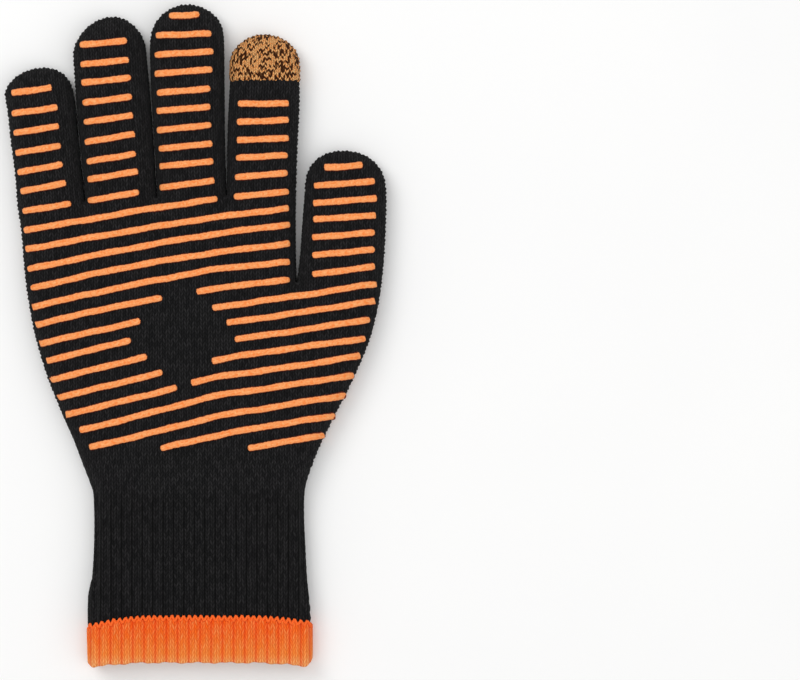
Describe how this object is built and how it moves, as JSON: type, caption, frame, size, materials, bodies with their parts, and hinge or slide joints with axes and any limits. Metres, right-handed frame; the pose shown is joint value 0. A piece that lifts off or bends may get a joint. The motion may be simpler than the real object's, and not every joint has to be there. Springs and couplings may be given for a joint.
{
  "type": "heat resistant glove",
  "caption": "Knitted heat resistant work glove for one hand, with raised silicone grip bars, a touch-screen fingertip and a ribbed cuff with a contrasting hem.",
  "frame": {"origin": "centre of the glove's outline, on the surface it lies on", "axes": "+Y towards the fingertips, +X towards the thumb, +Z out of the palm side, which faces up"},
  "size_m": [0.1578, 0.277, 0.0132],
  "materials": {
    "knit_shell": "matte black aramid knit",
    "knit_rib": "matte black rib knit",
    "liner_cotton": "soft brushed cotton knit",
    "grip_silicone": "satin silicone print",
    "touch_yarn": "orange and black twisted conductive yarn",
    "hem_yarn": "matte orange rib knit",
    "elastic": "covered elastic thread",
    "overlock_thread": "orange sewing thread"
  },
  "bodies": {
    "palm": {"palm_shell": "knit_shell", "palm_liner": "liner_cotton", "palm_grip_bars": "grip_silicone"},
    "cuff": {"cuff_rib": "knit_rib", "cuff_liner": "liner_cotton", "cuff_elastic_threads": "elastic", "cuff_hem": "hem_yarn", "hem_overlock_thread": "overlock_thread"},
    "pinky_base": {"pinky_base_shell": "knit_shell", "pinky_base_liner": "liner_cotton", "pinky_base_grip_bars": "grip_silicone"},
    "pinky_middle": {"pinky_middle_shell": "knit_shell", "pinky_middle_liner": "liner_cotton", "pinky_middle_grip_bars": "grip_silicone"},
    "pinky_tip": {"pinky_tip_shell": "knit_shell", "pinky_tip_liner": "liner_cotton", "pinky_tip_grip_bars": "grip_silicone"},
    "ring_base": {"ring_base_shell": "knit_shell", "ring_base_liner": "liner_cotton", "ring_base_grip_bars": "grip_silicone"},
    "ring_middle": {"ring_middle_shell": "knit_shell", "ring_middle_liner": "liner_cotton", "ring_middle_grip_bars": "grip_silicone"},
    "ring_tip": {"ring_tip_shell": "knit_shell", "ring_tip_liner": "liner_cotton", "ring_tip_grip_bars": "grip_silicone"},
    "middle_base": {"middle_base_shell": "knit_shell", "middle_base_liner": "liner_cotton", "middle_base_grip_bars": "grip_silicone"},
    "middle_middle": {"middle_middle_shell": "knit_shell", "middle_middle_liner": "liner_cotton", "middle_middle_grip_bars": "grip_silicone"},
    "middle_tip": {"middle_tip_shell": "knit_shell", "middle_tip_liner": "liner_cotton", "middle_tip_grip_bars": "grip_silicone"},
    "index_base": {"index_base_shell": "knit_shell", "index_base_liner": "liner_cotton", "index_base_grip_bars": "grip_silicone"},
    "index_middle": {"index_middle_shell": "knit_shell", "index_middle_liner": "liner_cotton", "index_middle_grip_bars": "grip_silicone"},
    "index_tip": {"index_tip_shell": "knit_shell", "index_tip_liner": "liner_cotton", "index_touch_cap": "touch_yarn"},
    "thumb_base": {"thumb_base_shell": "knit_shell", "thumb_base_liner": "liner_cotton", "thumb_base_grip_bars": "grip_silicone"},
    "thumb_tip": {"thumb_tip_shell": "knit_shell", "thumb_tip_liner": "liner_cotton", "thumb_tip_grip_bars": "grip_silicone"}
  },
  "joints": [
    {"name": "wrist_bend", "type": "hinge", "parent": "palm", "child": "cuff", "pos_m": [0.0015, -0.0654, 0.0066], "axis": [1, 0, 0], "range_deg": [-60, 60]},
    {"name": "pinky_base_fold", "type": "hinge", "parent": "palm", "child": "pinky_base", "pos_m": [-0.06031, 0.0579, 0.0108], "axis": [1, 0, 0], "range_deg": [-15, 80]},
    {"name": "pinky_middle_fold", "type": "hinge", "parent": "pinky_base", "child": "pinky_middle", "pos_m": [-0.06206, 0.0738, 0.0108], "axis": [1, 0, 0], "range_deg": [0, 80]},
    {"name": "pinky_tip_fold", "type": "hinge", "parent": "pinky_middle", "child": "pinky_tip", "pos_m": [-0.06384, 0.09, 0.0108], "axis": [1, 0, 0], "range_deg": [0, 53]},
    {"name": "ring_base_fold", "type": "hinge", "parent": "palm", "child": "ring_base", "pos_m": [-0.03156, 0.0629, 0.0108], "axis": [1, 0, 0], "range_deg": [-15, 88]},
    {"name": "ring_middle_fold", "type": "hinge", "parent": "ring_base", "child": "ring_middle", "pos_m": [-0.03329, 0.0863, 0.0108], "axis": [1, 0, 0], "range_deg": [0, 90]},
    {"name": "ring_tip_fold", "type": "hinge", "parent": "ring_middle", "child": "ring_tip", "pos_m": [-0.03506, 0.1102, 0.0108], "axis": [1, 0, 0], "range_deg": [0, 60]},
    {"name": "middle_base_fold", "type": "hinge", "parent": "palm", "child": "middle_base", "pos_m": [-0.00194, 0.0676, 0.0108], "axis": [1, 0, 0], "range_deg": [-15, 90]},
    {"name": "middle_middle_fold", "type": "hinge", "parent": "middle_base", "child": "middle_middle", "pos_m": [-0.00258, 0.0906, 0.0108], "axis": [1, 0, 0], "range_deg": [0, 88]},
    {"name": "middle_tip_fold", "type": "hinge", "parent": "middle_middle", "child": "middle_tip", "pos_m": [-0.00322, 0.114, 0.0108], "axis": [1, 0, 0], "range_deg": [0, 58]},
    {"name": "index_base_fold", "type": "hinge", "parent": "palm", "child": "index_base", "pos_m": [0.02754, 0.0632, 0.0108], "axis": [1, 0, 0], "range_deg": [-15, 84]},
    {"name": "index_middle_fold", "type": "hinge", "parent": "index_base", "child": "index_middle", "pos_m": [0.02825, 0.0857, 0.0108], "axis": [1, 0, 0], "range_deg": [0, 85]},
    {"name": "index_tip_fold", "type": "hinge", "parent": "index_middle", "child": "index_tip", "pos_m": [0.02875, 0.1017, 0.0108], "axis": [1, 0, 0], "range_deg": [0, 56]},
    {"name": "thumb_base_fold", "type": "hinge", "parent": "palm", "child": "thumb_base", "pos_m": [0.05985, 0.01544, 0.0108], "axis": [-0.8192, 0.5736, 0], "range_deg": [-60, 10]},
    {"name": "thumb_tip_fold", "type": "hinge", "parent": "thumb_base", "child": "thumb_tip", "pos_m": [0.06141, 0.0456, 0.0108], "axis": [1, 0, 0], "range_deg": [0, 75]}
  ],
  "couplings": [
    {"joint": "pinky_tip_fold", "follows": "pinky_middle_fold", "ratio": 0.6624},
    {"joint": "ring_tip_fold", "follows": "ring_middle_fold", "ratio": 0.6666},
    {"joint": "middle_tip_fold", "follows": "middle_middle_fold", "ratio": 0.659},
    {"joint": "index_tip_fold", "follows": "index_middle_fold", "ratio": 0.6587}
  ]
}
